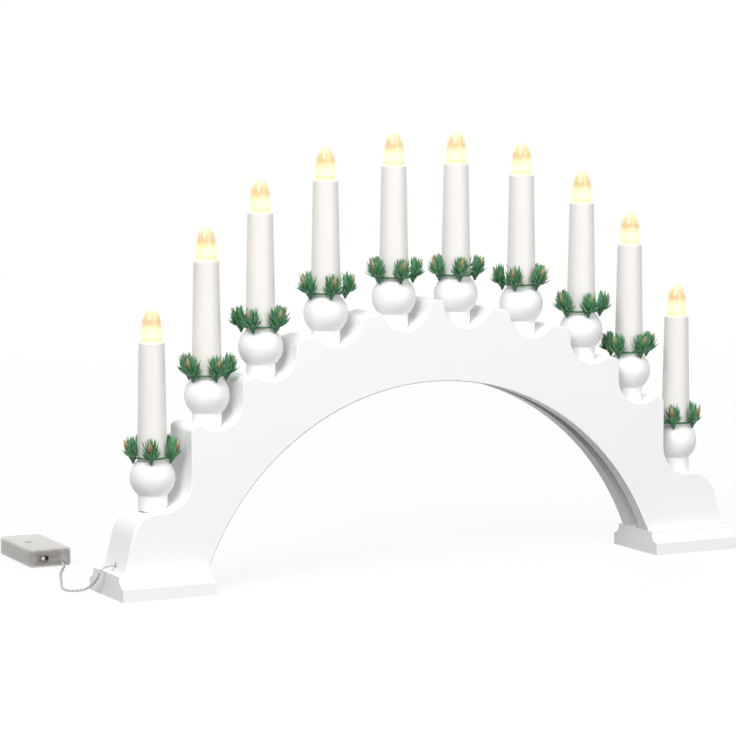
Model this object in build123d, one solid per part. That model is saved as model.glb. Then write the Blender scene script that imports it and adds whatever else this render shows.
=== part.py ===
from build123d import *
from math import acos, asin, atan2, cos, degrees, radians, sin, sqrt, tan, tau
import os

# A candle arch with ten electric candles and a battery box on a short lead.
# Millimetres, +Z up, X along the arch, +Y to its back. The origin is the middle of the foot plane.

# Arch boards: a ring of three glued boards about a centre below the foot plane
ring_centre_drop = 62.0
ring_depth = 72.0
board_thickness = 14.0
groove_depth = 14.0
board_edge_round = 1.0
overrun = 2.0

# Candle places: polar about the ring centre, from the middle outward, the same on both sides
ball_circle_radius = 291.0
candle_angles = (5.7, 18.05, 30.4, 42.1, 57.65)
ball_circle_shares = (0.993, 1.0015, 1.0065, 1.0015, 0.987)

# Seats: a round-bottomed notch through all three boards under each ball
seat_radius = 22.0
end_seat_radius = 24.6
seat_floor_drop = 26.0
shoulder_rise_shares = (0.62, 0.38, 0.19, 0.2, 0.0)
shoulder_fall = 12.0
crown_rise = 23.8
hump_round = 6.0
hump_round_share = 0.55
seat_lip_round = 4.0
spot_face_clearance = 0.3

# Legs and plinths
leg_margin = 33.4
leg_lean = 13.7
leg_shoulder_round = 23.0
plinth_depth = 68.7
plinth_height = 19.0
plinth_end_margin = 6.7
plinth_face_height = 10.0
plinth_lip_height = 2.3
plinth_cove_inset = 7.9
plinth_cove_sagitta = 1.7

# Wire passages
recess_height = 10.0
recess_margin = 4.5
wire_hole_radius = 2.4
lead_hole_radius = 2.25
lead_hole_rise = 5.0

# Plinth screws, one into the front and one into the back board of each leg
screw_shank_radius = 2.0
screw_head_radius = 4.0
screw_head_height = 2.6
screw_length = 40.0
screw_hole_clearance = 0.1
screw_head_depth = 1.0

# Ball cups
ball_radius = 18.0
neck_radius = 11.7
ball_top_height = 13.0
spigot_radius = 4.5
spigot_length = 10.0
spigot_clearance = 0.1
cup_bore_radius = 2.5
peg_height = 8.0
peg_clearance = 0.3

# Candle tubes and bulbs
tube_base_radius = 12.0
tube_top_radius = 10.15
tube_height = 93.7
tube_wall = 1.5
tube_cap = 2.0
tube_top_round = 0.9
bulb_radius = 8.2
bulb_height = 27.1
bulb_tip_radius = 4.9
bulb_side_radius = 30.0
bulb_wall = 1.2
bulb_plug_radius = 6.5
bulb_plug_length = 6.0
plug_clearance = 0.1
holder_height = 5.0
led_radius = 2.5
led_height = 8.6

# Wreaths: a wire ring with five sprigs of needles, each with a bud
sprig_count = 5
wreath_turns = (-117.0, -86.0, -139.0, -99.0, -95.0, -106.0, -139.0, -98.0, -83.0, -129.0)
ring_radius = 14.5
ring_wire_radius = 0.9
ring_height = 16.4
sprig_radius = 16.4
sprig_height = 16.0
sprig_base_radius = 2.4
needle_root_radius = 0.75
needle_tip_radius = 0.3
low_needle_length = 8.9
low_needle_lift = 30.0
low_needle_fan = (-84.0, -28.0, 28.0, 84.0)
high_needle_length = 12.6
high_needle_lift = 62.0
high_needle_fan = (-112.0, -48.0, 48.0, 112.0)
needle_root_share = 0.6
bud_length = 6.5
bud_radius = 1.4
bud_tip_radius = 0.35
bud_lift = 52.0
bud_stalk_length = 3.2
bud_stalk_radius = 0.7
stub_reach = 15.6
stub_tip_radius = 0.8
stub_root_radius = 1.7
wreath_seat_gap = 0.3

# Wiring inside the arch
harness_radius = 0.9
riser_radius = 0.65
joint_radius = 1.25
groove_clearance = 0.6

# Battery box: its own frame has its origin at the front left corner of the box's underside
box_left = -290.3
box_front = 145.6
box_turn = -2.2
box_width = 36.8
box_length = 80.0
box_height = 15.0
box_wall = 1.2
box_corner_round = 5.0
box_edge_round = 2.4
lid_thickness = 3.4
lid_top_wall = 1.4
lid_rim_height = 1.2
lid_rim_wall = 1.0
lid_clearance = 0.15
switch_bay_length = 23.0
partition_gap = 1.2
cell_radius = 5.1
cell_length = 43.5
cell_nub_radius = 1.9
cell_nub_length = 1.0
cell_gap = 0.15
boss_radius = 1.6
boss_hole_radius = 0.85
lid_screw_radius = 0.8
lid_screw_hole_radius = 0.95
lid_screw_length = 8.0
lid_screw_head_radius = 2.1
lid_screw_head_height = 0.9
lid_screw_slot_width = 0.5
lid_screw_slot_depth = 0.4
lid_dish_radius = 3.0
lid_dish_depth = 0.7
screw_place_length_share = 0.53

# Switch, timer board and contacts in the battery box
board_sheet = 1.2
board_rest_height = 1.2
board_rest_width = 1.5
board_side_gap = 3.0
board_front_gap = 0.4
timer_board_length = 18.0
switch_centre = 12.6
switch_rise = 7.5
switch_width = 9.0
switch_depth = 5.0
switch_height = 6.4
window_width = 7.2
window_height = 4.0
slider_width = 2.8
slider_height = 2.8
slider_proud = 0.3
slider_clearance = 0.1
slot_depth = 1.6
slider_travel = 2.4
contact_sheet = 0.4
contact_size = 6.6
contact_stand_off = 0.8
spring_radius = 2.6
spring_wire_radius = 0.3
spring_turns = 2
spring_lead_height = 1.3
quarter_turns = 4

# Lead cord
cord_radius = 1.1
cord_hole_clearance = 0.3
cord_start_inset = 1.5
inlet_place = 28.0
cord_floor_gap = 0.15
cord_approach = 5.5
cord_mouth_gap = 2.2
bend_share = 0.45
# Route between the arch and the box: shares of the plinths' reach, the box's distance and the hole's height
route_shares = (
    (-0.994, 0.0, 1.0),
    (-1.0155, -0.006, 0.908),
    (-1.0212, 0.015, 0.64),
    (-1.0218, 0.067, 0.408),
    (-1.0236, 0.121, 0.225),
    (-1.03, 0.162, 0.1),
    (-1.044, 0.183, 0.0),
    (-1.061, 0.194, 0.0),
    (-1.0727, 0.2266, 0.0),
    (-1.0717, 0.285, 0.0),
    (-1.0575, 0.3743, 0.0),
    (-1.0328, 0.4945, 0.0),
    (-1.0091, 0.625, 0.0),
    (-0.9843, 0.7418, 0.0),
    (-0.9585, 0.8413, 0.0),
)

thickness = 3 * board_thickness
ring_inner_radius = ball_circle_radius - ring_depth
end_candle_radius = ball_circle_radius * ball_circle_shares[-1]
leg_foot_reach = end_candle_radius * sin(radians(candle_angles[-1])) + leg_margin
ring_groove_radius = ring_inner_radius + groove_depth
plinth_inner_reach = sqrt(ring_inner_radius**2 - (plinth_height + ring_centre_drop) ** 2)
plinth_outer_reach = leg_foot_reach + plinth_end_margin
lead_hole_height = plinth_height + lead_hole_rise
tube_end_height = ball_top_height + tube_height
harness_arc_radius = ring_groove_radius - harness_radius - groove_clearance
box_frame = Pos(box_left, box_front, 0) * Rot(0, 0, box_turn)
timer_board_low = box_wall + board_rest_height
inlet_height = timer_board_low + board_sheet / 2
cell_height = box_wall + cell_gap + cell_radius


def half_places():
    """Ball centres (X, Z) of the right half, from the middle outward."""
    places = []
    for angle, share in zip(candle_angles, ball_circle_shares):
        radius = ball_circle_radius * share
        x = radius * sin(radians(angle))
        z = radius * cos(radians(angle)) - ring_centre_drop
        places.append((x, z))
    return places


def all_places():
    """Ball centres (X, Z) of the ten candles, from left to right."""
    right = half_places()
    left = [(-x, z) for x, z in reversed(right)]
    return left + right


def arc_through(centre, radius, start_angle, end_angle):
    """Circular edge about a centre, between two angles in degrees."""
    points = []
    for angle in (start_angle, (start_angle + end_angle) / 2, end_angle):
        x = centre[0] + radius * cos(radians(angle))
        y = centre[1] + radius * sin(radians(angle))
        points.append((x, y))
    return Edge.make_three_point_arc(*points)


def ring_arc(radius, start):
    """Edge of the ring's underside, from a start point up to the middle of the arch."""
    centre = (0, -ring_centre_drop)
    start_angle = degrees(atan2(start[1] + ring_centre_drop, start[0]))
    return arc_through(centre, radius, start_angle, 90)


def top_edges():
    """Top outline of the right half, with the corners to round as (point, radius)."""
    edges = []
    corners = []
    places = half_places()
    radii = [seat_radius] * (len(places) - 1) + [end_seat_radius]
    crown_top = places[0][1] - seat_floor_drop + crown_rise
    last = (0, crown_top)
    for (x, z), radius, share in zip(places, radii, shoulder_rise_shares):
        floor = z - seat_floor_drop
        centre = (x, floor + radius)
        run = x - radius - last[0]
        fall = 0 if last[0] == 0 else run * tan(radians(shoulder_fall))
        hump_height = last[1] - fall
        wall_height = hump_height - centre[1]
        walled = wall_height > hump_round
        start_angle = 180 if walled else 180 - degrees(asin(wall_height / radius))
        hump = (x + radius * cos(radians(start_angle)), hump_height)
        corners.append((hump, min(hump_round, run * hump_round_share)))
        edges.append(Edge.make_line(last, hump))
        if walled:
            edges.append(Edge.make_line(hump, (x - radius, centre[1])))
        rise = seat_floor_drop * share
        reach = sqrt(radius**2 - (radius - rise) ** 2)
        end_angle = 360 + degrees(atan2(rise - radius, reach))
        edges.append(arc_through(centre, radius, start_angle, end_angle))
        last = (x + reach, floor + rise)
        if rise > 0:
            corners.append((last, seat_lip_round))
    shoulder = (leg_foot_reach - (last[1] - plinth_height) * tan(radians(leg_lean)), last[1])
    foot = (leg_foot_reach, plinth_height)
    edges.append(Edge.make_line(last, shoulder))
    edges.append(Edge.make_line(shoulder, foot))
    corners.append((shoulder, leg_shoulder_round))
    return edges, corners, foot


def half_outline(radius, foot_points):
    """Closed face of the right half: the top outline, the foot points and the ring's underside."""
    edges, corners, last = top_edges()
    first = edges[0] @ 0
    for point in foot_points:
        edges.append(Edge.make_line(last, point))
        last = point
    arc = ring_arc(radius, last)
    edges.append(arc)
    edges.append(Edge.make_line(arc @ 1, first))
    face = Face(Wire(edges))
    for point, round_radius in corners:
        corner = face.vertices().sort_by_distance(Vector(*point))[0]
        face = face.fillet_2d(round_radius, [corner])
    return face


def upright(face, front, depth):
    """Board from an outline drawn in X and Z, standing from its front plane towards +Y."""
    half = extrude(face, depth, dir=(0, 0, 1))
    return Pos(0, front + depth, 0) * Rot(90, 0, 0) * (half + mirror(half, Plane.YZ))


def outer_outline():
    """Half outline of the front and back boards."""
    return half_outline(ring_inner_radius, [(plinth_inner_reach, plinth_height)])


def middle_outline():
    """Half outline of the middle board, cut back for the wire groove and the recess in each foot."""
    recess_reach = half_places()[-1][0] + recess_margin
    recess_top = plinth_height + recess_height
    groove_reach = sqrt(ring_groove_radius**2 - (recess_top + ring_centre_drop) ** 2)
    points = [(recess_reach, plinth_height), (recess_reach, recess_top), (groove_reach, recess_top)]
    return half_outline(ring_groove_radius, points)


def upright_cylinder(x, y, low, high, radius):
    """Cylinder on a vertical axis between two heights."""
    return Pos(x, y, (low + high) / 2) * Cylinder(radius, high - low)


def seat_cuts():
    """Spot faces under the ten necks, right through to where the notch walls are clear of them."""
    cuts = []
    for x, z in all_places():
        floor = z - seat_floor_drop
        cuts.append(upright_cylinder(x, 0, floor, z, neck_radius + spot_face_clearance))
    return cuts


def wire_cuts():
    """Spigot and wire holes in the middle board, and the lead's hole in the left leg."""
    cuts = []
    for x, z in all_places():
        floor = z - seat_floor_drop
        spigot_end = floor - spigot_length - overrun
        cuts.append(upright_cylinder(x, 0, spigot_end, z, spigot_radius + spigot_clearance))
        cuts.append(upright_cylinder(x, 0, plinth_height, floor, wire_hole_radius))
    hole_start = half_places()[-1][0]
    hole_length = leg_foot_reach - hole_start + overrun
    hole_middle = Pos(-hole_start - hole_length / 2, 0, lead_hole_height)
    cuts.append(hole_middle * Rot(0, 90, 0) * Cylinder(lead_hole_radius, hole_length))
    return cuts


def screw_places():
    """Axes (X, Y) of the four plinth screws."""
    middle = (plinth_inner_reach + plinth_outer_reach) / 2
    return [(side * middle, row * board_thickness) for side in (-1, 1) for row in (-1, 1)]


def screw_holes():
    """Clearance holes for the plinth screws, with a countersink."""
    holes = []
    radius = screw_shank_radius + screw_hole_clearance
    head = screw_head_radius + screw_hole_clearance
    for x, y in screw_places():
        top = screw_head_depth + screw_length + screw_hole_clearance
        shank = upright_cylinder(x, y, 0, top, radius)
        mouth = upright_cylinder(x, y, -overrun, screw_head_depth, head)
        sink_middle = screw_head_depth + screw_head_height / 2
        sink = Pos(x, y, sink_middle) * Cone(head, radius, screw_head_height)
        holes.append(shank + mouth + sink)
    return holes


def softened(board, side):
    """Board with the outline of its front (0) or back (-1) face rounded, apart from its foot edges."""
    outline = board.edges().group_by(Axis.Y)[side]
    soft = outline.filter_by(lambda edge: edge.center().Z > plinth_height + board_edge_round)
    return fillet(soft, board_edge_round)


def make_boards():
    """Front, middle and back boards of the arch."""
    seats = seat_cuts()
    holes = screw_holes()
    front = softened(upright(outer_outline(), -thickness / 2, board_thickness), 0)
    middle = upright(middle_outline(), -board_thickness / 2, board_thickness)
    back = softened(upright(outer_outline(), board_thickness / 2, board_thickness), -1)
    return {
        "front_board": front - seats - holes,
        "middle_board": middle - seats - wire_cuts(),
        "back_board": back - seats - holes,
    }


def make_plinth(side):
    """Plinth under one leg: a moulding with a cove along its front and back, cut square at its ends."""
    half = plinth_depth / 2
    neck = half - plinth_cove_inset
    cove_top = plinth_height - plinth_lip_height
    right = [
        Line((0, 0), (half, 0)),
        Line((half, 0), (half, plinth_face_height)),
        SagittaArc((half, plinth_face_height), (neck, cove_top), plinth_cove_sagitta),
        Line((neck, cove_top), (neck, plinth_height)),
        Line((neck, plinth_height), (0, plinth_height)),
        Line((0, plinth_height), (0, 0)),
    ]
    face = make_face(right)
    profile = Plane.YZ * (face + mirror(face, Plane.YZ))
    length = plinth_outer_reach - plinth_inner_reach
    start = plinth_inner_reach if side > 0 else -plinth_outer_reach
    return Pos(start, 0, 0) * extrude(profile, length) - screw_holes()


def make_plinth_screws():
    """Four countersunk screws, driven up through the plinths."""
    screws = []
    for x, y in screw_places():
        low = screw_head_depth
        head_top = low + screw_head_height
        head = Cone(screw_head_radius, screw_shank_radius, screw_head_height)
        shank = upright_cylinder(x, y, low, low + screw_length, screw_shank_radius)
        screws.append(shank + Pos(x, y, (low + head_top) / 2) * head)
    return Compound(children=screws)


def turned(points):
    """Solid of revolution about Z from an outline of edges drawn in radius and height."""
    return revolve(Plane.XZ * make_face(points), Axis.Z)


def polyline_edges(points):
    """Straight edges through the points, in order."""
    return [Line(start, end) for start, end in zip(points, points[1:])]


def make_ball_cup():
    """Turned cup of spigot, neck, ball and candle peg, bored for the wire. Origin at the ball centre."""
    neck_top = -sqrt(ball_radius**2 - neck_radius**2)
    rim_radius = sqrt(ball_radius**2 - ball_top_height**2)
    peg_radius = tube_base_radius - tube_wall - peg_clearance
    peg_top = ball_top_height + peg_height
    spigot_end = -seat_floor_drop - spigot_length
    before = polyline_edges([
        (cup_bore_radius, spigot_end),
        (spigot_radius, spigot_end),
        (spigot_radius, -seat_floor_drop),
        (neck_radius, -seat_floor_drop),
        (neck_radius, neck_top),
    ])
    ball = ThreePointArc((neck_radius, neck_top), (ball_radius, 0), (rim_radius, ball_top_height))
    after = polyline_edges([
        (rim_radius, ball_top_height),
        (peg_radius, ball_top_height),
        (peg_radius, peg_top),
        (cup_bore_radius, peg_top),
        (cup_bore_radius, spigot_end),
    ])
    return turned(before + [ball] + after)


def make_candle_tube():
    """Tapered hollow candle with a hole in its top for the bulb. Origin at the ball centre."""
    lean = (tube_base_radius - tube_top_radius) / tube_height
    inner_top = tube_end_height - tube_cap
    hole = bulb_plug_radius + plug_clearance
    inner_top_radius = tube_base_radius - tube_wall - lean * (tube_height - tube_cap)
    tube = turned(polyline_edges([
        (tube_base_radius - tube_wall, ball_top_height),
        (tube_base_radius, ball_top_height),
        (tube_top_radius, tube_end_height),
        (hole, tube_end_height),
        (hole, inner_top),
        (inner_top_radius, inner_top),
        (tube_base_radius - tube_wall, ball_top_height),
    ]))
    circles = tube.edges().filter_by(GeomType.CIRCLE)
    outer = circles.filter_by(lambda edge: edge.radius > tube_top_radius - plug_clearance)
    return fillet(outer.sort_by(Axis.Z)[-1], tube_top_round)


def bulb_shape(radius, tip_radius, side_radius, top):
    """Side and tip arcs of a pointed bulb, and the height where its straight wall ends."""
    side_reach = radius - side_radius
    tip_centre = top - tip_radius
    spread = sqrt((side_radius - tip_radius) ** 2 - side_reach**2)
    side_centre = tip_centre - spread
    meet_angle = degrees(atan2(spread, -side_reach))
    side = arc_through((side_reach, side_centre), side_radius, 0, meet_angle)
    tip = arc_through((0, tip_centre), tip_radius, meet_angle, 90)
    return side, tip, side_centre


def make_bulb():
    """Clear hollow bulb with a plug that sits in the candle's top. Origin at the ball centre."""
    low = tube_end_height
    top = low + bulb_height
    plug_end = low - bulb_plug_length
    side, tip, wall_top = bulb_shape(bulb_radius, bulb_tip_radius, bulb_side_radius, top)
    outside = polyline_edges([
        (0, plug_end),
        (bulb_plug_radius, plug_end),
        (bulb_plug_radius, low),
        (bulb_radius, low),
        (bulb_radius, wall_top),
    ])
    shell = turned(outside + [side, tip, Line((0, top), (0, plug_end))])
    inner_side, inner_tip, inner_wall_top = bulb_shape(
        bulb_radius - bulb_wall,
        bulb_tip_radius - bulb_wall,
        bulb_side_radius - bulb_wall,
        top - bulb_wall,
    )
    bore = bulb_plug_radius - bulb_wall
    inside = polyline_edges([
        (0, plug_end),
        (bore, plug_end),
        (bore, low + bulb_wall),
        (bulb_radius - bulb_wall, low + bulb_wall),
        (bulb_radius - bulb_wall, inner_wall_top),
    ])
    hollow = turned(inside + [inner_side, inner_tip, Line((0, top - bulb_wall), (0, plug_end))])
    return shell - hollow


def make_lamp_holder():
    """Round plug in the bulb's neck that carries the lamp. Origin at the ball centre."""
    low = tube_end_height - bulb_plug_length
    radius = bulb_plug_radius - bulb_wall - plug_clearance
    return upright_cylinder(0, 0, low, low + holder_height, radius)


def make_led():
    """Round lamp with a domed end, standing on its holder. Origin at the ball centre."""
    low = tube_end_height - bulb_plug_length + holder_height
    dome_centre = low + led_height - led_radius
    dome = ThreePointArc(
        (led_radius, dome_centre),
        (led_radius * cos(radians(45)), dome_centre + led_radius * sin(radians(45))),
        (0, low + led_height),
    )
    body = polyline_edges([(0, low), (led_radius, low), (led_radius, dome_centre)])
    return turned(body + [dome, Line((0, low + led_height), (0, low))])


def at_candles(piece):
    """One solid per candle, from a piece modelled about the ball centre."""
    return Compound(children=[Pos(x, 0, z) * piece for x, z in all_places()])


def aimed(origin, lift, fan):
    """Plane at an origin whose normal rises by lift and swings sideways by fan, from +X."""
    flat = cos(radians(lift))
    normal = (flat * cos(radians(fan)), flat * sin(radians(fan)), sin(radians(lift)))
    return Plane(origin=origin, z_dir=normal)


def make_needle(length, lift, fan):
    """Three-sided tapering needle, rooted inside the base of its sprig."""
    plane = aimed((sprig_radius, 0, sprig_height), lift, fan)
    root = plane.offset(sprig_base_radius * needle_root_share) * RegularPolygon(needle_root_radius, 3)
    tip = plane.offset(length) * RegularPolygon(needle_tip_radius, 3)
    return loft([root.face(), tip.face()], ruled=True)


def make_sprig():
    """Fan of needles about a bud, on a small base with a stub that rests on the ball."""
    base = Pos(sprig_radius, 0, sprig_height) * Sphere(sprig_base_radius)
    needles = [make_needle(low_needle_length, low_needle_lift, fan) for fan in low_needle_fan]
    needles += [make_needle(high_needle_length, high_needle_lift, fan) for fan in high_needle_fan]
    bud_plane = aimed((sprig_radius, 0, sprig_height), bud_lift, 0)
    stalk = extrude(bud_plane * Circle(bud_stalk_radius), bud_stalk_length)
    bud = loft([
        (bud_plane.offset(bud_stalk_length) * Circle(bud_radius)).face(),
        (bud_plane.offset(bud_stalk_length + bud_length) * Circle(bud_tip_radius)).face(),
    ], ruled=True)
    stub_low = sqrt((ball_radius + wreath_seat_gap) ** 2 - (stub_reach - stub_tip_radius) ** 2)
    stub_height = sprig_height - stub_low
    stub_middle = (stub_low + sprig_height) / 2
    stub = Pos(stub_reach, 0, stub_middle) * Cone(stub_tip_radius, stub_root_radius, stub_height)
    return base.fuse(*needles, stalk, bud, stub)


def make_wreath():
    """Ring with its sprigs, the first one towards +X. Origin at the ball centre."""
    ring = Pos(0, 0, ring_height) * Torus(ring_radius, ring_wire_radius)
    sprig = make_sprig()
    sprigs = [Rot(0, 0, 360 * index / sprig_count) * sprig for index in range(sprig_count)]
    return ring.fuse(*sprigs)


def make_wire_harness():
    """Wire along the groove, with a branch up into each candle and a run out to the lead's hole."""
    start = Plane(origin=(0, 0, harness_arc_radius - ring_centre_drop), x_dir=(0, 1, 0), z_dir=(1, 0, 0))
    axis = Axis((0, 0, -ring_centre_drop), (0, 1, 0))
    swing = degrees(acos((lead_hole_height + ring_centre_drop) / harness_arc_radius))
    section = (start * Circle(harness_radius)).face().rotate(axis, -swing)
    wire = revolve(section, axis, 2 * swing)
    arc_reach = harness_arc_radius * sin(radians(swing))
    end_reach = half_places()[-1][0]
    lead_reach = lead_start()[0]
    pieces = []
    for low, high in ((lead_reach, -arc_reach), (arc_reach, end_reach)):
        middle = Pos((low + high) / 2, 0, lead_hole_height)
        pieces.append(middle * Rot(0, 90, 0) * Cylinder(harness_radius, high - low))
    for reach in (-arc_reach, -end_reach, arc_reach, end_reach):
        pieces.append(Pos(reach, 0, lead_hole_height) * Sphere(joint_radius))
    for x, z in all_places():
        beyond = abs(x) > arc_reach
        low = lead_hole_height if beyond else sqrt(harness_arc_radius**2 - x**2) - ring_centre_drop
        holder_low = z + tube_end_height - bulb_plug_length
        pieces.append(upright_cylinder(x, 0, low, holder_low, riser_radius))
    return wire.fuse(*pieces)


def lead_start():
    """Where the lead takes over from the harness, just inside the hole in the left leg."""
    mouth = leg_foot_reach - lead_hole_rise * tan(radians(leg_lean))
    return (-(mouth - cord_start_inset), 0, lead_hole_height)


def cord_points():
    """Route of the lead: out over the plinth's end, down to the floor and round to the battery box."""
    rest = cord_radius + cord_floor_gap
    points = [lead_start()]
    for x_share, y_share, z_share in route_shares:
        height = max(lead_hole_height * z_share, rest)
        points.append((plinth_outer_reach * x_share, box_front * y_share, height))
    for y, z in (
        (-cord_approach, rest),
        (-cord_mouth_gap, inlet_height),
        (box_wall + board_front_gap, inlet_height),
    ):
        place = box_frame * Pos(inlet_place, y, z)
        points.append(tuple(place.position))
    return points


def bend_radii(points):
    """Largest radius that each bend of a route has room for."""
    radii = []
    for before, here, after in zip(points, points[1:], points[2:]):
        arriving = Vector(*here) - Vector(*before)
        leaving = Vector(*after) - Vector(*here)
        turn = radians(arriving.get_angle(leaving))
        shorter = min(arriving.length, leaving.length)
        radii.append(bend_share * shorter / tan(turn / 2))
    return radii


def make_lead_cord():
    """Lead from the left leg to the battery box."""
    points = cord_points()
    radii = bend_radii(points)
    path = FilletPolyline(*points, radius=radii)
    start = Plane(origin=path @ 0, z_dir=path % 0)
    cord = sweep(start * Circle(cord_radius), path.wire())
    section = (start * Circle(cord_radius)).area
    print("cord length", round(path.length, 1), "bend radii", [round(radius, 1) for radius in radii])
    print("cord volume", round(cord.volume, 2), "section times length", round(section * path.length, 2))
    return cord


def box_plate(inset, low, high):
    """Rounded plate of the battery box's plan, set in from its outside, between two heights."""
    width = box_width - 2 * inset
    length = box_length - 2 * inset
    corner = max(box_corner_round - inset, lid_clearance)
    plan = Pos(box_width / 2, box_length / 2, low) * RectangleRounded(width, length, corner)
    return extrude(plan, high - low)


def block(x, y, z):
    """Box between two limits along each axis."""
    middle = Pos((x[0] + x[1]) / 2, (y[0] + y[1]) / 2, (z[0] + z[1]) / 2)
    return middle * Box(x[1] - x[0], y[1] - y[0], z[1] - z[0])


def cell_places():
    """Axes (X) of the three cells, with the screw boss between the first two."""
    first = box_wall + cell_gap + cell_radius
    second = first + 2 * cell_radius + 2 * cell_gap + 2 * boss_radius
    third = second + 2 * cell_radius + cell_gap
    return [first, second, third]


def screw_place():
    """Axis (X, Y) of the lid screw."""
    across = cell_places()[0] + cell_radius + cell_gap + boss_radius
    return across, box_length * screw_place_length_share


def bay_limits():
    """Front and back (Y) of the space for the cells and their contacts."""
    return box_wall + switch_bay_length + partition_gap, box_length - box_wall - contact_stand_off


def make_battery_case():
    """Case with partition, screw boss, rests for the timer board, switch window and cord hole."""
    top = box_height - lid_thickness
    outside = box_plate(0, 0, top)
    outside = fillet(outside.faces().sort_by(Axis.Z)[0].edges(), box_edge_round)
    case = outside - box_plate(box_wall, box_wall, top + overrun)
    bay_front, _ = bay_limits()
    case += block((box_wall / 2, box_width - box_wall / 2), (bay_front - partition_gap, bay_front),
                  (box_wall / 2, top - 2 * lid_rim_height))
    x, y = screw_place()
    boss_top = box_height - lid_top_wall
    case += upright_cylinder(x, y, box_wall / 2, boss_top, boss_radius)
    rest_low = box_wall / 2
    for low in (box_wall + board_side_gap, box_width - box_wall - board_side_gap - board_rest_width):
        case += block((low, low + board_rest_width), (box_wall + board_front_gap, timer_board_length),
                      (rest_low, timer_board_low))
    case -= upright_cylinder(x, y, boss_top - lid_screw_length, boss_top + overrun, boss_hole_radius)
    window = (switch_centre - window_width / 2, switch_centre + window_width / 2)
    window_span = (switch_rise - window_height / 2, switch_rise + window_height / 2)
    case -= block(window, (-overrun, box_wall + board_front_gap / 2), window_span)
    hole = Rot(90, 0, 0) * Cylinder(cord_radius + cord_hole_clearance, 2 * box_wall)
    case -= Pos(inlet_place, box_wall / 2, inlet_height) * hole
    return case


def make_battery_lid():
    """Hollow lid with a rim that drops inside the case and a dished hole for its screw."""
    low = box_height - lid_thickness
    plate = box_plate(0, low, box_height)
    plate = fillet(plate.faces().sort_by(Axis.Z)[-1].edges(), box_edge_round)
    rim_inset = box_wall + lid_clearance
    lid = plate + box_plate(rim_inset, low - lid_rim_height, low)
    lid -= box_plate(rim_inset + lid_rim_wall, low - lid_rim_height, box_height - lid_top_wall)
    x, y = screw_place()
    lid -= upright_cylinder(x, y, box_height - lid_dish_depth, box_height + overrun, lid_dish_radius)
    lid -= upright_cylinder(x, y, low - overrun / 2, box_height, lid_screw_hole_radius)
    return lid


def make_lid_screw():
    """Small slotted screw that holds the lid on the boss."""
    x, y = screw_place()
    seat = box_height - lid_dish_depth
    head = upright_cylinder(x, y, seat, seat + lid_screw_head_height, lid_screw_head_radius)
    end = seat - lid_screw_length + lid_screw_head_height
    screw = head + upright_cylinder(x, y, end, seat, lid_screw_radius)
    top = seat + lid_screw_head_height
    slot_across = (x - lid_screw_head_radius, x + lid_screw_head_radius)
    slot_along = (y - lid_screw_slot_width / 2, y + lid_screw_slot_width / 2)
    return screw - block(slot_across, slot_along, (top - lid_screw_slot_depth, top))


def switch_limits():
    """Front plane (Y) of the switch body and the height of the timer board's top."""
    return box_wall + board_front_gap / 2, timer_board_low + board_sheet


def make_timer_board():
    """Circuit board on its rests behind the switch."""
    low = timer_board_low
    across = (box_wall + board_side_gap, box_width - box_wall - board_side_gap)
    along = (box_wall + board_front_gap, timer_board_length)
    return block(across, along, (low, low + board_sheet))


def make_switch_body():
    """Switch housing on the timer board, with the slot that its slider runs in."""
    front, low = switch_limits()
    half = switch_width / 2
    body = block((switch_centre - half, switch_centre + half), (front, front + switch_depth),
                 (low, low + switch_height))
    slot_half = window_width / 2
    slot_rise = slider_height / 2 + slider_clearance
    slot = block((switch_centre - slot_half, switch_centre + slot_half),
                 (front - overrun, front + slot_depth),
                 (switch_rise - slot_rise, switch_rise + slot_rise))
    return body - slot


def make_switch_slider():
    """Slider at the left end of its travel, a little proud of the case's front."""
    front, _ = switch_limits()
    middle = switch_centre - slider_travel / 2
    return block((middle - slider_width / 2, middle + slider_width / 2),
                 (-slider_proud, front + slot_depth - slider_clearance),
                 (switch_rise - slider_height / 2, switch_rise + slider_height / 2))


def lengthwise(x, low, high, radius):
    """Cylinder along the battery box at the cells' height."""
    return Pos(x, (low + high) / 2, cell_height) * Rot(90, 0, 0) * Cylinder(radius, high - low)


def cell_layout():
    """Axis (X) of each cell and the ends (Y) of its can, button and spring, turned alternately."""
    front, back = bay_limits()
    front += contact_sheet
    back -= contact_sheet
    layout = []
    for index, x in enumerate(cell_places()):
        if index % 2 == 0:
            button = (front, front + cell_nub_length)
            can = (button[1], button[1] + cell_length)
            spring = (can[1], back)
        else:
            button = (back - cell_nub_length, back)
            can = (button[0] - cell_length, button[0])
            spring = (front, can[0])
        layout.append((x, can, button, spring))
    return layout


def make_battery_cells():
    """Three round cells, each a can with a button end."""
    cells = []
    for x, can, button, _ in cell_layout():
        cells.append(lengthwise(x, *can, cell_radius) + lengthwise(x, *button, cell_nub_radius))
    return Compound(children=cells)


def make_contact_plates():
    """Six flat contacts, one at each end of each cell."""
    front, back = bay_limits()
    half = contact_size / 2
    rise = (cell_height - half, cell_height + half)
    plates = []
    for x in cell_places():
        for low in (front, back - contact_sheet):
            plates.append(block((x - half, x + half), (low, low + contact_sheet), rise))
    return Compound(children=plates)


def biarc(start, start_way, end, end_way):
    """Two tangent arcs from a start point and direction to an end point and direction."""
    chord = end - start
    ways = start_way + end_way
    bend = 2 * (1 - start_way.dot(end_way))
    along = chord.dot(ways)
    arm = (sqrt(along**2 + bend * chord.dot(chord)) - along) / bend
    middle = (start + end + (start_way - end_way) * arm) / 2
    first = Edge.make_tangent_arc(start, start_way, middle)
    return [first, Edge.make_tangent_arc(middle, first % 1, end)]


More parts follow.
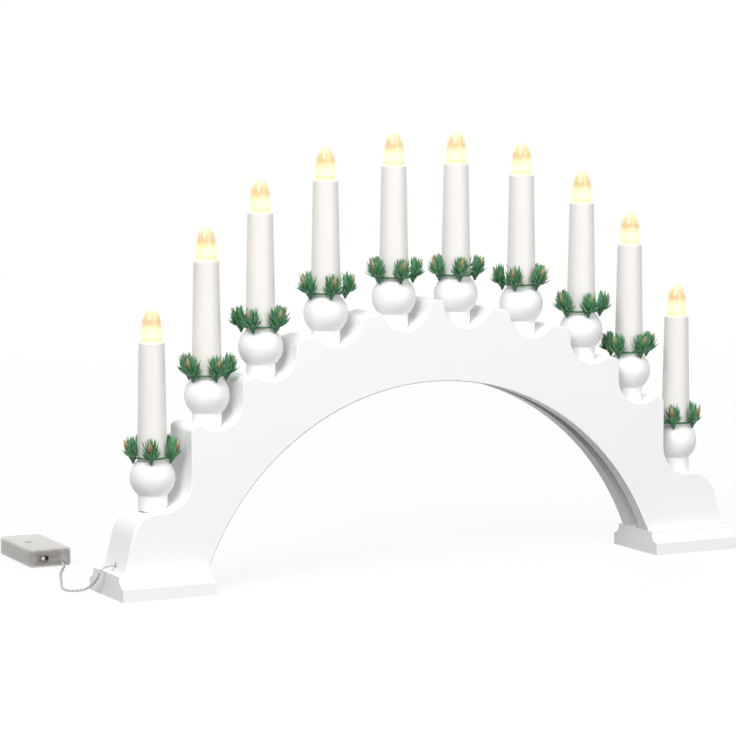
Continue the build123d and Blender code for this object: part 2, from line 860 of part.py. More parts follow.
def spring_path(length):
    """Centre line of a contact spring along +Z: a straight end, the turns and a straight end."""
    wire = 2 * spring_wire_radius
    turns_low = wire + spring_lead_height
    turns_height = length - 2 * turns_low
    pitch = turns_height / spring_turns
    climb = pitch / (tau * spring_radius)
    up = Vector(0, 0, 1)
    knots = [(Vector(spring_radius, 0, wire), up)]
    for quarter in range(1, quarter_turns * spring_turns + 2):
        angle = 90 * quarter
        height = turns_low + pitch * (quarter - 1) / quarter_turns
        place = Vector(spring_radius * cos(radians(angle)), spring_radius * sin(radians(angle)), height)
        way = Vector(-sin(radians(angle)), cos(radians(angle)), climb).normalized()
        knots.append((place, way))
    last_angle = 90 * (quarter_turns * spring_turns + 2)
    end_x = spring_radius * cos(radians(last_angle))
    end_y = spring_radius * sin(radians(last_angle))
    end = Vector(end_x, end_y, length - wire)
    knots.append((end, up))
    edges = [Edge.make_line(Vector(spring_radius, 0, 0), knots[0][0])]
    for (start, start_way), (stop, stop_way) in zip(knots, knots[1:]):
        edges += biarc(start, start_way, stop, stop_way)
    edges.append(Edge.make_line(end, end + up * wire))
    return Wire(edges)


def least_gap(path):
    """Smallest space between turns of a wire, measured on points along its centre line."""
    steps = 400
    points = [path.position_at(step / steps) for step in range(steps + 1)]
    apart = int(steps * 4 * spring_radius / path.length)
    distances = []
    for index, point in enumerate(points):
        distances += [(point - other).length for other in points[index + apart:]]
    return min(distances) - 2 * spring_wire_radius


def make_contact_springs():
    """Three coil springs, each between a contact and the flat end of its cell."""
    springs = []
    for x, _, _, (low, high) in cell_layout():
        path = spring_path(high - low)
        start = Plane(origin=path @ 0, z_dir=path % 0)
        spring = sweep(start * Circle(spring_wire_radius), path)
        springs.append(Pos(x, high, cell_height) * Rot(90, 0, 0) * spring)
    print("spring gap", round(least_gap(path), 2))
    return Compound(children=springs)


def make_parts():
    """All the pieces by name, in place."""
    parts = make_boards()
    parts["left_plinth"] = make_plinth(-1)
    parts["right_plinth"] = make_plinth(1)
    parts["plinth_screws"] = make_plinth_screws()
    cup = make_ball_cup()
    tube = make_candle_tube()
    bulb = make_bulb()
    wreath = make_wreath()
    for number, ((x, z), turn) in enumerate(zip(all_places(), wreath_turns), start=1):
        place = Pos(x, 0, z)
        parts[f"ball_cup_{number:02d}"] = place * cup
        parts[f"candle_tube_{number:02d}"] = place * tube
        parts[f"bulb_{number:02d}"] = place * bulb
        parts[f"wreath_{number:02d}"] = place * Rot(0, 0, turn) * wreath
    parts["lamp_holders"] = at_candles(make_lamp_holder())
    parts["led_lamps"] = at_candles(make_led())
    parts["wire_harness"] = make_wire_harness()
    parts["lead_cord"] = make_lead_cord()
    boxed = {
        "battery_case": make_battery_case(),
        "battery_lid": make_battery_lid(),
        "lid_screw": make_lid_screw(),
        "timer_board": make_timer_board(),
        "switch_body": make_switch_body(),
        "switch_slider": make_switch_slider(),
        "battery_cells": make_battery_cells(),
        "contact_plates": make_contact_plates(),
        "contact_springs": make_contact_springs(),
    }
    for name, shape in boxed.items():
        parts[name] = box_frame * shape
    return parts


os.makedirs("parts", exist_ok=True)
for node, shape in make_parts().items():
    export_step(shape, f"parts/{node}.step")
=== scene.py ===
"""Dressed scene of the candle arch: studio, finishes, candles, wreaths, lead and battery box.

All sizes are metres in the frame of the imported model: X along the arch, +Y to its back, Z up.
"""
import logging
from dataclasses import dataclass, field
from enum import Enum
from functools import partialmethod
from math import cos, pi, radians, sin, sqrt, tau

import bmesh
import bpy
from mathutils import Matrix, Vector


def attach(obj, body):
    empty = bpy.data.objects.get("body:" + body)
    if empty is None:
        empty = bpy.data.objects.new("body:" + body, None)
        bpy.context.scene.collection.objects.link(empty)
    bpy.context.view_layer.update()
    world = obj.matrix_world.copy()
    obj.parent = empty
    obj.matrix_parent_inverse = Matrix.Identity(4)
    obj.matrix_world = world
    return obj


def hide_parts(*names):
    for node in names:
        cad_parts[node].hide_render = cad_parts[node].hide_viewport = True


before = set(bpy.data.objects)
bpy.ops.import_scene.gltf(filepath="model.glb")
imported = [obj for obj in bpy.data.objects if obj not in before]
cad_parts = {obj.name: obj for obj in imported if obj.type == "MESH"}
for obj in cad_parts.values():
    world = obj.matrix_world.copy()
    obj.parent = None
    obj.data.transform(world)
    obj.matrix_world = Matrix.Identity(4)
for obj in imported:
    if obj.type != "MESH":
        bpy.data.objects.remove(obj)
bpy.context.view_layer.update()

LOG = logging.getLogger("candle_arch")
NODES: dict[str, bpy.types.Object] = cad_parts
CANDLES = 10
BUD_ROWS = 7.0
GOLDEN = 0.618034
FILM = "surface_film"
Socket = bpy.types.NodeSocket
Ring = list[bmesh.types.BMVert]
Colour = tuple[float, float, float]
Stops = tuple[tuple[float, Colour], ...]
WHITE: Colour = (1.0, 1.0, 1.0)


class Body(Enum):
    """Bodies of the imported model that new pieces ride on."""

    ARCH = "arch"
    WREATH = "wreath_{:02d}"

    def numbered(self, number: int) -> str:
        """Name of the body that belongs to one candle.

        Args:
            number: The candle's number, from 1 at the left.

        Returns:
            The body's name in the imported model.
        """
        return self.value.format(number)


class Bench:
    """Adds and joins the nodes of one node tree."""

    def __init__(self, tree: bpy.types.NodeTree) -> None:
        """Take the tree to work on.

        Args:
            tree: A shader or geometry node tree.
        """
        self.tree = tree

    def add(self, kind: str, inputs: dict | None = None, **settings: object) -> bpy.types.Node:
        """Add a node and fill its inputs.

        Args:
            kind: The node's type name.
            inputs: Values or sockets by input name or index.
            settings: Properties of the node itself.

        Returns:
            The new node.
        """
        node = self.tree.nodes.new(kind)
        for name, value in settings.items():
            setattr(node, name, value)
        for key, value in (inputs or {}).items():
            self.feed(node.inputs[key], value)
        return node

    def feed(self, socket: Socket, value: object) -> None:
        """Link a socket to another one, or set its value.

        Args:
            socket: The input socket.
            value: An output socket, a colour or a plain value.
        """
        if isinstance(value, Socket):
            self.tree.links.new(value, socket)
        else:
            socket.default_value = (*value, 1.0) if socket.type == "RGBA" else value

    def maths(self, operation: str, first: object, second: object = 0.0, third: object = 0.0) -> Socket:
        """Add one step of arithmetic.

        Args:
            operation: The Math node's operation.
            first: First value or socket.
            second: Second value or socket.
            third: Third value or socket, where there is one.

        Returns:
            The result's socket.
        """
        return self.add("ShaderNodeMath", {0: first, 1: second, 2: third}, operation=operation).outputs[0]

    plus = partialmethod(maths, "ADD")
    minus = partialmethod(maths, "SUBTRACT")
    times = partialmethod(maths, "MULTIPLY")
    over = partialmethod(maths, "DIVIDE")
    lower = partialmethod(maths, "MINIMUM")
    upper = partialmethod(maths, "MAXIMUM")

    def span(self, value: Socket, source: tuple[float, float], target: tuple[float, float]) -> Socket:
        """Map a value from one range to another.

        Args:
            value: The value's socket.
            source: The range it comes from.
            target: The range it goes to.

        Returns:
            The mapped value's socket.
        """
        ends = {"From Min": source[0], "From Max": source[1], "To Min": target[0], "To Max": target[1]}
        return self.add("ShaderNodeMapRange", {"Value": value, **ends}).outputs["Result"]

    def blend(self, factor: object, first: object, second: object) -> Socket:
        """Blend two colours.

        Args:
            factor: Share of the second colour.
            first: First colour or socket.
            second: Second colour or socket.

        Returns:
            The blended colour's socket.
        """
        return self.add("ShaderNodeMix", {0: factor, 6: first, 7: second}, data_type="RGBA").outputs[2]

    def ramp(self, factor: Socket, stops: Stops) -> Socket:
        """Map a value to colours.

        Args:
            factor: The value's socket.
            stops: Places from 0 to 1 with their colours.

        Returns:
            The colour's socket.
        """
        node = self.add("ShaderNodeValToRGB", {"Fac": factor})
        points = node.color_ramp.elements
        while len(points) < len(stops):
            points.new(0.5)
        for point, (place, colour) in zip(points, stops):
            point.position = place
            point.color = (*colour, 1.0)
        return node.outputs["Color"]

    def attribute(self, name: str) -> Socket:
        """Read a number that is stored on the mesh.

        Args:
            name: The attribute's name.

        Returns:
            The number's socket.
        """
        return self.add("ShaderNodeAttribute", attribute_name=name).outputs["Fac"]

    def seen(self) -> Socket:
        """Tell the rays that the camera sees by from those that only carry light.

        Returns:
            1 for camera, glossy and transmission rays, else 0.
        """
        path = self.add("ShaderNodeLightPath").outputs
        bounced = self.upper(path["Is Glossy Ray"], path["Is Transmission Ray"])
        return self.upper(path["Is Camera Ray"], bounced)

    def draw(self, low: float, high: float, seed: Socket) -> Socket:
        """Draw a number for each point.

        Args:
            low: Smallest number.
            high: Largest number.
            seed: The draw's seed.

        Returns:
            The number's socket.
        """
        return self.add("FunctionNodeRandomValue", {2: low, 3: high, "Seed": seed}, data_type="FLOAT").outputs[1]

    def marked(self, geometry: Socket, name: str, value: object, domain: str = "POINT") -> Socket:
        """Store a value on the geometry for its material.

        Args:
            geometry: The geometry's socket.
            name: The attribute's name.
            value: A number or a field.
            domain: Where it is stored.

        Returns:
            The geometry with the attribute.
        """
        inputs = {"Geometry": geometry, "Name": name, "Value": value}
        return self.add("GeometryNodeStoreNamedAttribute", inputs, data_type="FLOAT", domain=domain).outputs[0]

    def joined(self, geometries: list[Socket]) -> Socket:
        """Put geometries together.

        Args:
            geometries: Their sockets.

        Returns:
            The socket of them all.
        """
        node = self.add("GeometryNodeJoinGeometry")
        for geometry in geometries:
            self.feed(node.inputs[0], geometry)
        return node.outputs[0]

    def slimmed(self, place: Socket, girth: Socket) -> Socket:
        """Draw a position in towards the Z axis.

        Args:
            place: The position's socket.
            girth: Share of its distance from the axis that is left.

        Returns:
            The new position's socket.
        """
        scale = self.add("ShaderNodeCombineXYZ", {"X": girth, "Y": girth, "Z": 1.0}).outputs[0]
        return self.add("ShaderNodeVectorMath", {0: place, 1: scale}, operation="MULTIPLY").outputs[0]


def surface_film_group() -> bpy.types.NodeTree:
    """Build the group for lacquered and moulded surfaces: faint clouds, uneven gloss and orange peel.

    Returns:
        The node group.
    """
    tree = bpy.data.node_groups.new(FILM, "ShaderNodeTree")
    inputs = ("Cloud Scale", "Peel Scale", "Cloud Amount", "Rough Low", "Rough High")
    outputs = ("Cloud", "Roughness", "Height")
    for side, labels in (("INPUT", inputs), ("OUTPUT", outputs)):
        for label in labels:
            tree.interface.new_socket(label, in_out=side, socket_type="NodeSocketFloat")
    bench = Bench(tree)
    given = bench.add("NodeGroupInput").outputs
    leave = bench.add("NodeGroupOutput")
    place = bench.add("ShaderNodeTexCoord").outputs["Object"]
    cloud = bench.add("ShaderNodeTexNoise", {"Vector": place, "Scale": given["Cloud Scale"], "Detail": 4.0})
    gloss = bench.add("ShaderNodeTexNoise", {"Vector": place, "Scale": given["Peel Scale"], "Detail": 2.0})
    peel = bench.add("ShaderNodeTexVoronoi", {"Vector": place, "Scale": given["Peel Scale"]}, feature="SMOOTH_F1")
    cloud_share = bench.times(cloud.outputs[0], given["Cloud Amount"])
    spread = bench.minus(given["Rough High"], given["Rough Low"])
    rough = bench.times(gloss.outputs[0], spread)
    bench.feed(leave.inputs["Cloud"], cloud_share)
    bench.feed(leave.inputs["Roughness"], bench.plus(rough, given["Rough Low"]))
    bench.feed(leave.inputs["Height"], bench.plus(peel.outputs[0], gloss.outputs[0]))
    return tree


@dataclass(frozen=True)
class Finish:
    """A finish: its colours and how its surface film shows."""

    name: str
    colour: Colour
    cloud_colour: Colour
    rough: tuple[float, float] = (0.32, 0.42)
    cloud_scale: float = 30.0
    cloud_amount: float = 0.6
    peel_scale: float = 900.0
    peel_depth: float = 0.00003
    peel_strength: float = 0.25
    metallic: float = 0.0
    transmission: float = 0.0
    coat: float = 0.0
    coat_rough: float = 0.15

    def build(self) -> bpy.types.Material:
        """Make the material.

        Returns:
            The new material.
        """
        material = bpy.data.materials.new(self.name)
        material.use_nodes = True
        bench = Bench(material.node_tree)
        shader = bench.tree.nodes["Principled BSDF"]
        film = self.film(bench)
        bump = bench.add("ShaderNodeBump", {
            "Strength": self.peel_strength, "Distance": self.peel_depth, "Height": film.outputs["Height"],
        })
        values = {
            "Base Color": self.tone(bench, film), "Roughness": film.outputs["Roughness"], "Normal": bump.outputs[0],
            "Metallic": self.metallic, "Transmission Weight": self.transmission, "Coat Weight": self.coat,
            "Coat Roughness": self.coat_rough,
        }
        for name, value in values.items():
            bench.feed(shader.inputs[name], value)
        self.finish(bench, shader)
        return material

    def film(self, bench: Bench) -> bpy.types.Node:
        """Place the surface film group with this finish's values.

        Args:
            bench: The material's bench.

        Returns:
            The group node.
        """
        tree = bpy.data.node_groups.get(FILM) or surface_film_group()
        return bench.add("ShaderNodeGroup", {
            "Cloud Scale": self.cloud_scale, "Peel Scale": self.peel_scale, "Cloud Amount": self.cloud_amount,
            "Rough Low": self.rough[0], "Rough High": self.rough[1],
        }, node_tree=tree)

    def tone(self, bench: Bench, film: bpy.types.Node) -> Socket:
        """Colour of the surface.

        Args:
            bench: The material's bench.
            film: The surface film's node.

        Returns:
            The colour's socket.
        """
        return bench.blend(film.outputs["Cloud"], self.colour, self.cloud_colour)

    def finish(self, bench: Bench, shader: bpy.types.Node) -> None:
        """Add what one kind of finish has beyond its film.

        Args:
            bench: The material's bench.
            shader: The material's Principled BSDF.
        """


@dataclass(frozen=True)
class NeedleFinish(Finish):
    """Needles that are painted darker at the root as shade where they crowd, and pale at the tip, no two quite alike.
    """

    # root: dark colour painted at the needles' root as shade where they crowd
    root: Colour = (0.006, 0.05, 0.016)
    tip: Colour = (0.36, 0.6, 0.36)
    middle: tuple[float, float] = (0.4, 0.8)
    shade_share: float = 0.6

    def tone(self, bench: Bench, film: bpy.types.Node) -> Socket:
        """Colour along and among the needles, with painted shade towards the root.

        Args:
            bench: The material's bench.
            film: The surface film's node.

        Returns:
            The colour's socket.
        """
        stops = (
            (0.0, self.root), (self.middle[0], self.colour), (self.middle[1], self.cloud_colour), (1.0, self.tip),
        )
        # painted shade: the ramp darkens the needles towards their crowded root
        length = bench.ramp(bench.attribute("along"), stops)
        shade = bench.times(bench.attribute("shade"), self.shade_share)
        dark = bench.blend(shade, length, self.root)
        return bench.blend(film.outputs["Cloud"], dark, self.colour)


@dataclass(frozen=True)
class BudFinish(Finish):
    """Brown buds with rows of scales and golden tips."""

    tip: Colour = (0.72, 0.58, 0.3)
    tipped: Stops = ((0.5, (0.0, 0.0, 0.0)), (1.0, (0.8, 0.8, 0.8)))
    film_share: float = 0.5

    def tone(self, bench: Bench, film: bpy.types.Node) -> Socket:
        """Colour of the scales.

        Args:
            bench: The material's bench.
            film: The surface film's node.

        Returns:
            The colour's socket.
        """
        along = bench.attribute("along")
        rows = bench.maths("PINGPONG", bench.times(along, BUD_ROWS), 0.5)
        scales = bench.blend(rows, self.colour, self.cloud_colour)
        worn = bench.blend(bench.ramp(along, self.tipped), scales, self.tip)
        return bench.blend(bench.times(film.outputs["Cloud"], self.film_share), worn, self.colour)


@dataclass(frozen=True)
class BulbFinish(Finish):
    """Clear bulb, lit from inside its lower half, with a painted glow on its rim."""

    glow: float = 0.2
    ior: float = 1.45
    film_share: float = 0.2
    # painted rim glow: colour, falloff and share of the paleness laid on the bulb's silhouette
    painted_rim_glow: Colour = (1.0, 0.96, 0.72)
    painted_rim_glow_power: float = 2.0
    painted_rim_glow_share: float = 0.85
    tints: Stops = (
        (0.0, (0.98, 0.9, 0.78)), (0.09, (0.76, 0.68, 0.4)), (0.16, (0.98, 0.93, 0.68)),
        (0.36, (0.98, 0.92, 0.68)), (0.58, (0.82, 0.64, 0.4)), (0.7, (0.86, 0.7, 0.46)),
        (0.86, (0.93, 0.82, 0.58)), (1.0, (0.98, 0.92, 0.66)),
    )
    lights: Stops = (
        (0.0, (0.9, 0.75, 0.5)), (0.25, (1.0, 0.92, 0.6)), (0.36, (0.95, 0.84, 0.54)),
        (0.6, (0.45, 0.34, 0.2)), (1.0, (0.6, 0.52, 0.32)),
    )

    def tone(self, bench: Bench, film: bpy.types.Node) -> Socket:
        """Tint of the bulb from its foot to its tip, with a painted glow that pales its rim where it is seen edge on.

        Args:
            bench: The material's bench.
            film: The surface film's node.

        Returns:
            The colour's socket.
        """
        tint = bench.ramp(bench.attribute("level"), self.tints)
        # painted rim glow: the colour pales towards the silhouette, standing in for light at the bulb's edges
        facing = bench.add("ShaderNodeLayerWeight", {"Blend": 0.5}).outputs["Facing"]
        painted_rim_glow = bench.maths("POWER", facing, self.painted_rim_glow_power)
        rim_glow_tinted = bench.blend(bench.times(painted_rim_glow, self.painted_rim_glow_share), tint, self.painted_rim_glow)
        return bench.blend(bench.times(film.outputs["Cloud"], self.film_share), rim_glow_tinted, self.cloud_colour)

    def finish(self, bench: Bench, shader: bpy.types.Node) -> None:
        """Add the glow of the bulb's lower half.

        Args:
            bench: The material's bench.
            shader: The material's Principled BSDF.
        """
        light = bench.ramp(bench.attribute("level"), self.lights)
        bench.feed(shader.inputs["Emission Color"], light)
        shader.inputs["Emission Strength"].default_value = self.glow
        shader.inputs["IOR"].default_value = self.ior


@dataclass(frozen=True)
class SmokyFinish(Finish):
    """Thin translucent plastic that is denser where it is seen edge on, with a painted highlight there."""

    clear: float = 0.26
    dense: float = 0.86
    # edge: colour of the painted highlight on walls seen edge on
    edge: Colour = (0.7, 0.68, 0.65)
    edge_blend: float = 0.35
    edge_highlight_power: float = 3.0

    def tone(self, bench: Bench, film: bpy.types.Node) -> Socket:
        """Colour of the walls, with a painted highlight that pales them where they are seen edge on.

        Args:
            bench: The material's bench.
            film: The surface film's node.

        Returns:
            The colour's socket.
        """
        # painted highlight: walls seen edge on blend toward the pale edge colour
        facing = bench.add("ShaderNodeLayerWeight", {"Blend": self.edge_blend}).outputs["Facing"]
        edge_highlight_share = bench.maths("POWER", facing, self.edge_highlight_power)
        return bench.blend(edge_highlight_share, super().tone(bench, film), self.edge)

    def finish(self, bench: Bench, shader: bpy.types.Node) -> None:
        """Let the inside show through the walls.

        Args:
            bench: The material's bench.
            shader: The material's Principled BSDF.
        """
        facing = bench.add("ShaderNodeLayerWeight", {"Blend": self.edge_blend}).outputs["Facing"]
        cover = bench.span(facing, (0.0, 1.0), (self.clear, self.dense))
        bench.feed(shader.inputs["Alpha"], cover)


LACQUER = Finish("white_lacquer", (0.89, 0.89, 0.89), (0.86, 0.86, 0.865), coat=0.15)
CANDLE = Finish("candle_plastic", (0.84, 0.818, 0.79), (0.83, 0.795, 0.755), peel_scale=400.0)
NEEDLE = NeedleFinish("needle_plastic", (0.04, 0.23, 0.08), (0.13, 0.4, 0.19), rough=(0.25, 0.42),
                      peel_scale=3000.0)
BUD = BudFinish("bud_plastic", (0.14, 0.085, 0.03), (0.42, 0.3, 0.13), rough=(0.4, 0.6))
BULB = BulbFinish("clear_bulb", (1.0, 0.93, 0.8), (1.0, 0.95, 0.85), rough=(0.06, 0.12),
                  transmission=0.65, peel_strength=0.02)
LAMP = BulbFinish("lamp_resin", (1.0, 0.95, 0.8), (1.0, 0.93, 0.75), rough=(0.1, 0.2), glow=1.2)
HOLDER = Finish("white_plastic", (0.8, 0.8, 0.78), (0.76, 0.75, 0.72))
SMOKE = SmokyFinish("smoky_plastic", (0.7, 0.675, 0.64), (0.62, 0.595, 0.555), rough=(0.16, 0.28),
                    peel_scale=1500.0)
BLACK = Finish("black_plastic", (0.015, 0.015, 0.016), (0.03, 0.03, 0.032), rough=(0.35, 0.5))
BOARD = Finish("circuit_board", (0.5, 0.45, 0.36), (0.42, 0.37, 0.29), rough=(0.3, 0.45))
STEEL = Finish("zinc_steel", (0.6, 0.6, 0.62), (0.5, 0.5, 0.53), metallic=1.0, peel_scale=1200.0)
JACKET = Finish("cell_jacket", (0.74, 0.73, 0.71), (0.66, 0.65, 0.63), rough=(0.25, 0.35), coat=0.3)
STRAND = Finish("clear_cord", (0.62, 0.62, 0.62), (0.5, 0.5, 0.51), rough=(0.18, 0.3),
                peel_scale=2000.0, coat=0.3)

ARCH_NODES: dict[str, Finish] = {
    "front_board": LACQUER, "middle_board": LACQUER, "back_board": LACQUER, "left_plinth": LACQUER,
    "right_plinth": LACQUER, "plinth_screws": STEEL, "wire_harness": STRAND, "lamp_holders": HOLDER,
    "led_lamps": LAMP,
}
BOX_NODES: dict[str, Finish] = {
    "battery_case": SMOKE, "battery_lid": SMOKE, "lid_screw": STEEL, "timer_board": BOARD, "switch_body": BLACK,
    "switch_slider": HOLDER, "battery_cells": JACKET, "contact_plates": STEEL, "contact_springs": STEEL,
}


class Paintbox:
    """Builds each finish once and puts it on objects."""

    def __init__(self) -> None:
        """Start with no material made."""
        self.made: dict[str, bpy.types.Material] = {}

    def material(self, finish: Finish) -> bpy.types.Material:
        """Material of a finish.

        Args:
            finish: The finish.

        Returns:
            Its material, made at the first call.
        """
        if finish.name not in self.made:
            self.made[finish.name] = finish.build()
        return self.made[finish.name]

    def dress(self, nodes: dict[str, Finish]) -> None:
        """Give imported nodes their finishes.

        Args:
            nodes: The finishes by the nodes' names.
        """
        for name, finish in nodes.items():
            mesh = NODES[name].data
            mesh.materials.clear()
            mesh.materials.append(self.material(finish))
            LOG.info("dressed %s in %s", name, finish.name)


def linked(name: str, data: bpy.types.ID) -> bpy.types.Object:
    """Put a new object in the scene.

    Args:
        name: The object's name.
        data: Its mesh, curve, lamp or camera.

    Returns:
        The object.
    """
    thing = bpy.data.objects.new(name, data)
    bpy.context.scene.collection.objects.link(thing)
    return thing


def new_piece(name: str, mesh: bpy.types.Mesh, body: str) -> bpy.types.Object:
    """Put a finished mesh in the scene, riding on a body.

    Args:
        name: The piece's name.
        mesh: Its mesh, already in place.
        body: The body it moves with.

    Returns:
        The new object.
    """
    piece = linked(name, mesh)
    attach(piece, body)
    LOG.info("made %s on %s", name, body)
    return piece


def join_rings(shape: bmesh.types.BMesh, rings: list[Ring]) -> None:
    """Lay a band of faces between each ring of vertices and the next.

    Args:
        shape: The mesh to add to.
        rings: Rings of equal numbers of vertices.
    """
    for first, second in zip(rings, rings[1:]):
        for step in range(len(first)):
            other = (step + 1) % len(first)
            shape.faces.new((first[step], first[other], second[other], second[step]))


def smooth_mesh(shape: bmesh.types.BMesh, name: str) -> bpy.types.Mesh:
    """Keep a finished shape as a smooth mesh.

    Args:
        shape: The shape, which is freed.
        name: The mesh's name.

    Returns:
        The new mesh.
    """
    bmesh.ops.recalc_face_normals(shape, faces=shape.faces)
    mesh = bpy.data.meshes.new(name)
    shape.to_mesh(mesh)
    shape.free()
    mesh.shade_smooth()
    return mesh


@dataclass(frozen=True)
class AreaLamp:
    """Soft square lamp that faces the arch; shiny surfaces show it only if it is mirrored."""

    name: str
    place: tuple[float, float, float]
    size: float
    power: float
    mirrored: bool = True
    aim: tuple[float, float, float] = (0.0, 0.0, 0.15)

    def build(self) -> None:
        """Hang the lamp in the scene."""
        light = bpy.data.lights.new(self.name, "AREA")
        light.size = self.size
        light.energy = self.power
        lamp = linked(self.name, light)
        lamp.location = self.place
        lamp.visible_glossy = self.mirrored
        way = Vector(self.aim) - Vector(self.place)
        lamp.rotation_euler = way.to_track_quat("-Z", "Y").to_euler()


LAMPS = (
    AreaLamp("key", (-1.95, -1.5, 2.45), 1.8, 92.0),
    AreaLamp("front", (0.8, -3.1, 1.1), 2.2, 53.0),
    AreaLamp("back", (1.3, 2.9, 1.5), 2.2, 40.0, mirrored=False),
)


@dataclass
class Studio:
    """Camera, pale floor and soft light."""

    camera_place: tuple[float, float, float] = (-1.245, -2.336, 0.4595)
    camera_yaw: float = 27.05
    camera_pitch: float = 6.33
    focal_pixels: float = 3253.1
    picture_width: float = 736.0
    sensor: float = 36.0
    view_reach: float = 200.0
    floor_reach: float = 60.0
    floor_fade: tuple[float, float] = (0.5, 3.0)
    floor_white: tuple[float, float] = (0.86, 1.0)
    floor_unseen: Colour = (0.18, 0.18, 0.18)
    floor_seen: Colour = (0.85, 0.85, 0.85)
    room_rise: tuple[float, float] = (0.0, 0.8)
    room_light: tuple[float, float] = (0.13, 0.52)

    def build(self) -> None:
        """Set up everything that isn't part of the object."""
        bpy.context.scene.view_settings.view_transform = "Standard"
        self.add_camera()
        self.add_floor()
        self.add_world()
        for lamp in LAMPS:
            lamp.build()

    def add_camera(self) -> None:
        """Place the camera where the photograph was taken from."""
        lens = bpy.data.cameras.new("camera")
        lens.sensor_width = self.sensor
        lens.lens = self.focal_pixels / self.picture_width * self.sensor
        lens.clip_end = self.view_reach
        camera = linked("camera", lens)
        camera.location = self.camera_place
        camera.rotation_euler = (radians(90.0 - self.camera_pitch), 0.0, radians(-self.camera_yaw))
        bpy.context.scene.camera = camera

    def add_floor(self) -> None:
        """Lay the pale floor, white to the camera and still shaded by the object."""
        mesh = bpy.data.meshes.new("floor")
        reach = self.floor_reach
        corners = [(-reach, -reach, 0.0), (reach, -reach, 0.0), (reach, reach, 0.0), (-reach, reach, 0.0)]
        mesh.from_pydata(corners, [], [(0, 1, 2, 3)])
        material = bpy.data.materials.new("pale_floor")
        material.use_nodes = True
        bench = Bench(material.node_tree)
        bench.tree.nodes.clear()
        place = bench.add("ShaderNodeTexCoord").outputs["Object"]
        away = bench.add("ShaderNodeVectorMath", {0: place}, operation="LENGTH").outputs["Value"]
        seen = bench.seen()
        share = bench.times(seen, bench.span(away, self.floor_fade, self.floor_white))
        pale = bench.blend(seen, self.floor_unseen, self.floor_seen)
        shaded = bench.add("ShaderNodeBsdfDiffuse", {"Color": pale})
        white = bench.add("ShaderNodeEmission", {"Color": WHITE, "Strength": 1.0})
        mix = bench.add("ShaderNodeMixShader", {0: share, 1: shaded.outputs[0], 2: white.outputs[0]})
        bench.add("ShaderNodeOutputMaterial", {"Surface": mix.outputs[0]})
        mesh.materials.append(material)
        floor = linked("floor", mesh)

    def add_world(self) -> None:
        """Give the room a light that comes mostly from above, and white walls where the camera sees them."""
        world = bpy.data.worlds.new("room")
        bpy.context.scene.world = world
        world.use_nodes = True
        bench = Bench(world.node_tree)
        bench.tree.nodes.clear()
        seen = bench.seen()
        way = bench.add("ShaderNodeTexCoord").outputs["Generated"]
        rise = bench.add("ShaderNodeSeparateXYZ", {0: way}).outputs["Z"]
        strength = bench.span(rise, self.room_rise, self.room_light)
        soft = bench.add("ShaderNodeBackground", {"Color": WHITE, "Strength": strength})
        white = bench.add("ShaderNodeBackground", {"Color": WHITE, "Strength": 1.0})
        mix = bench.add("ShaderNodeMixShader", {0: seen, 1: soft.outputs[0], 2: white.outputs[0]})
        bench.add("ShaderNodeOutputWorld", {"Surface": mix.outputs[0]})


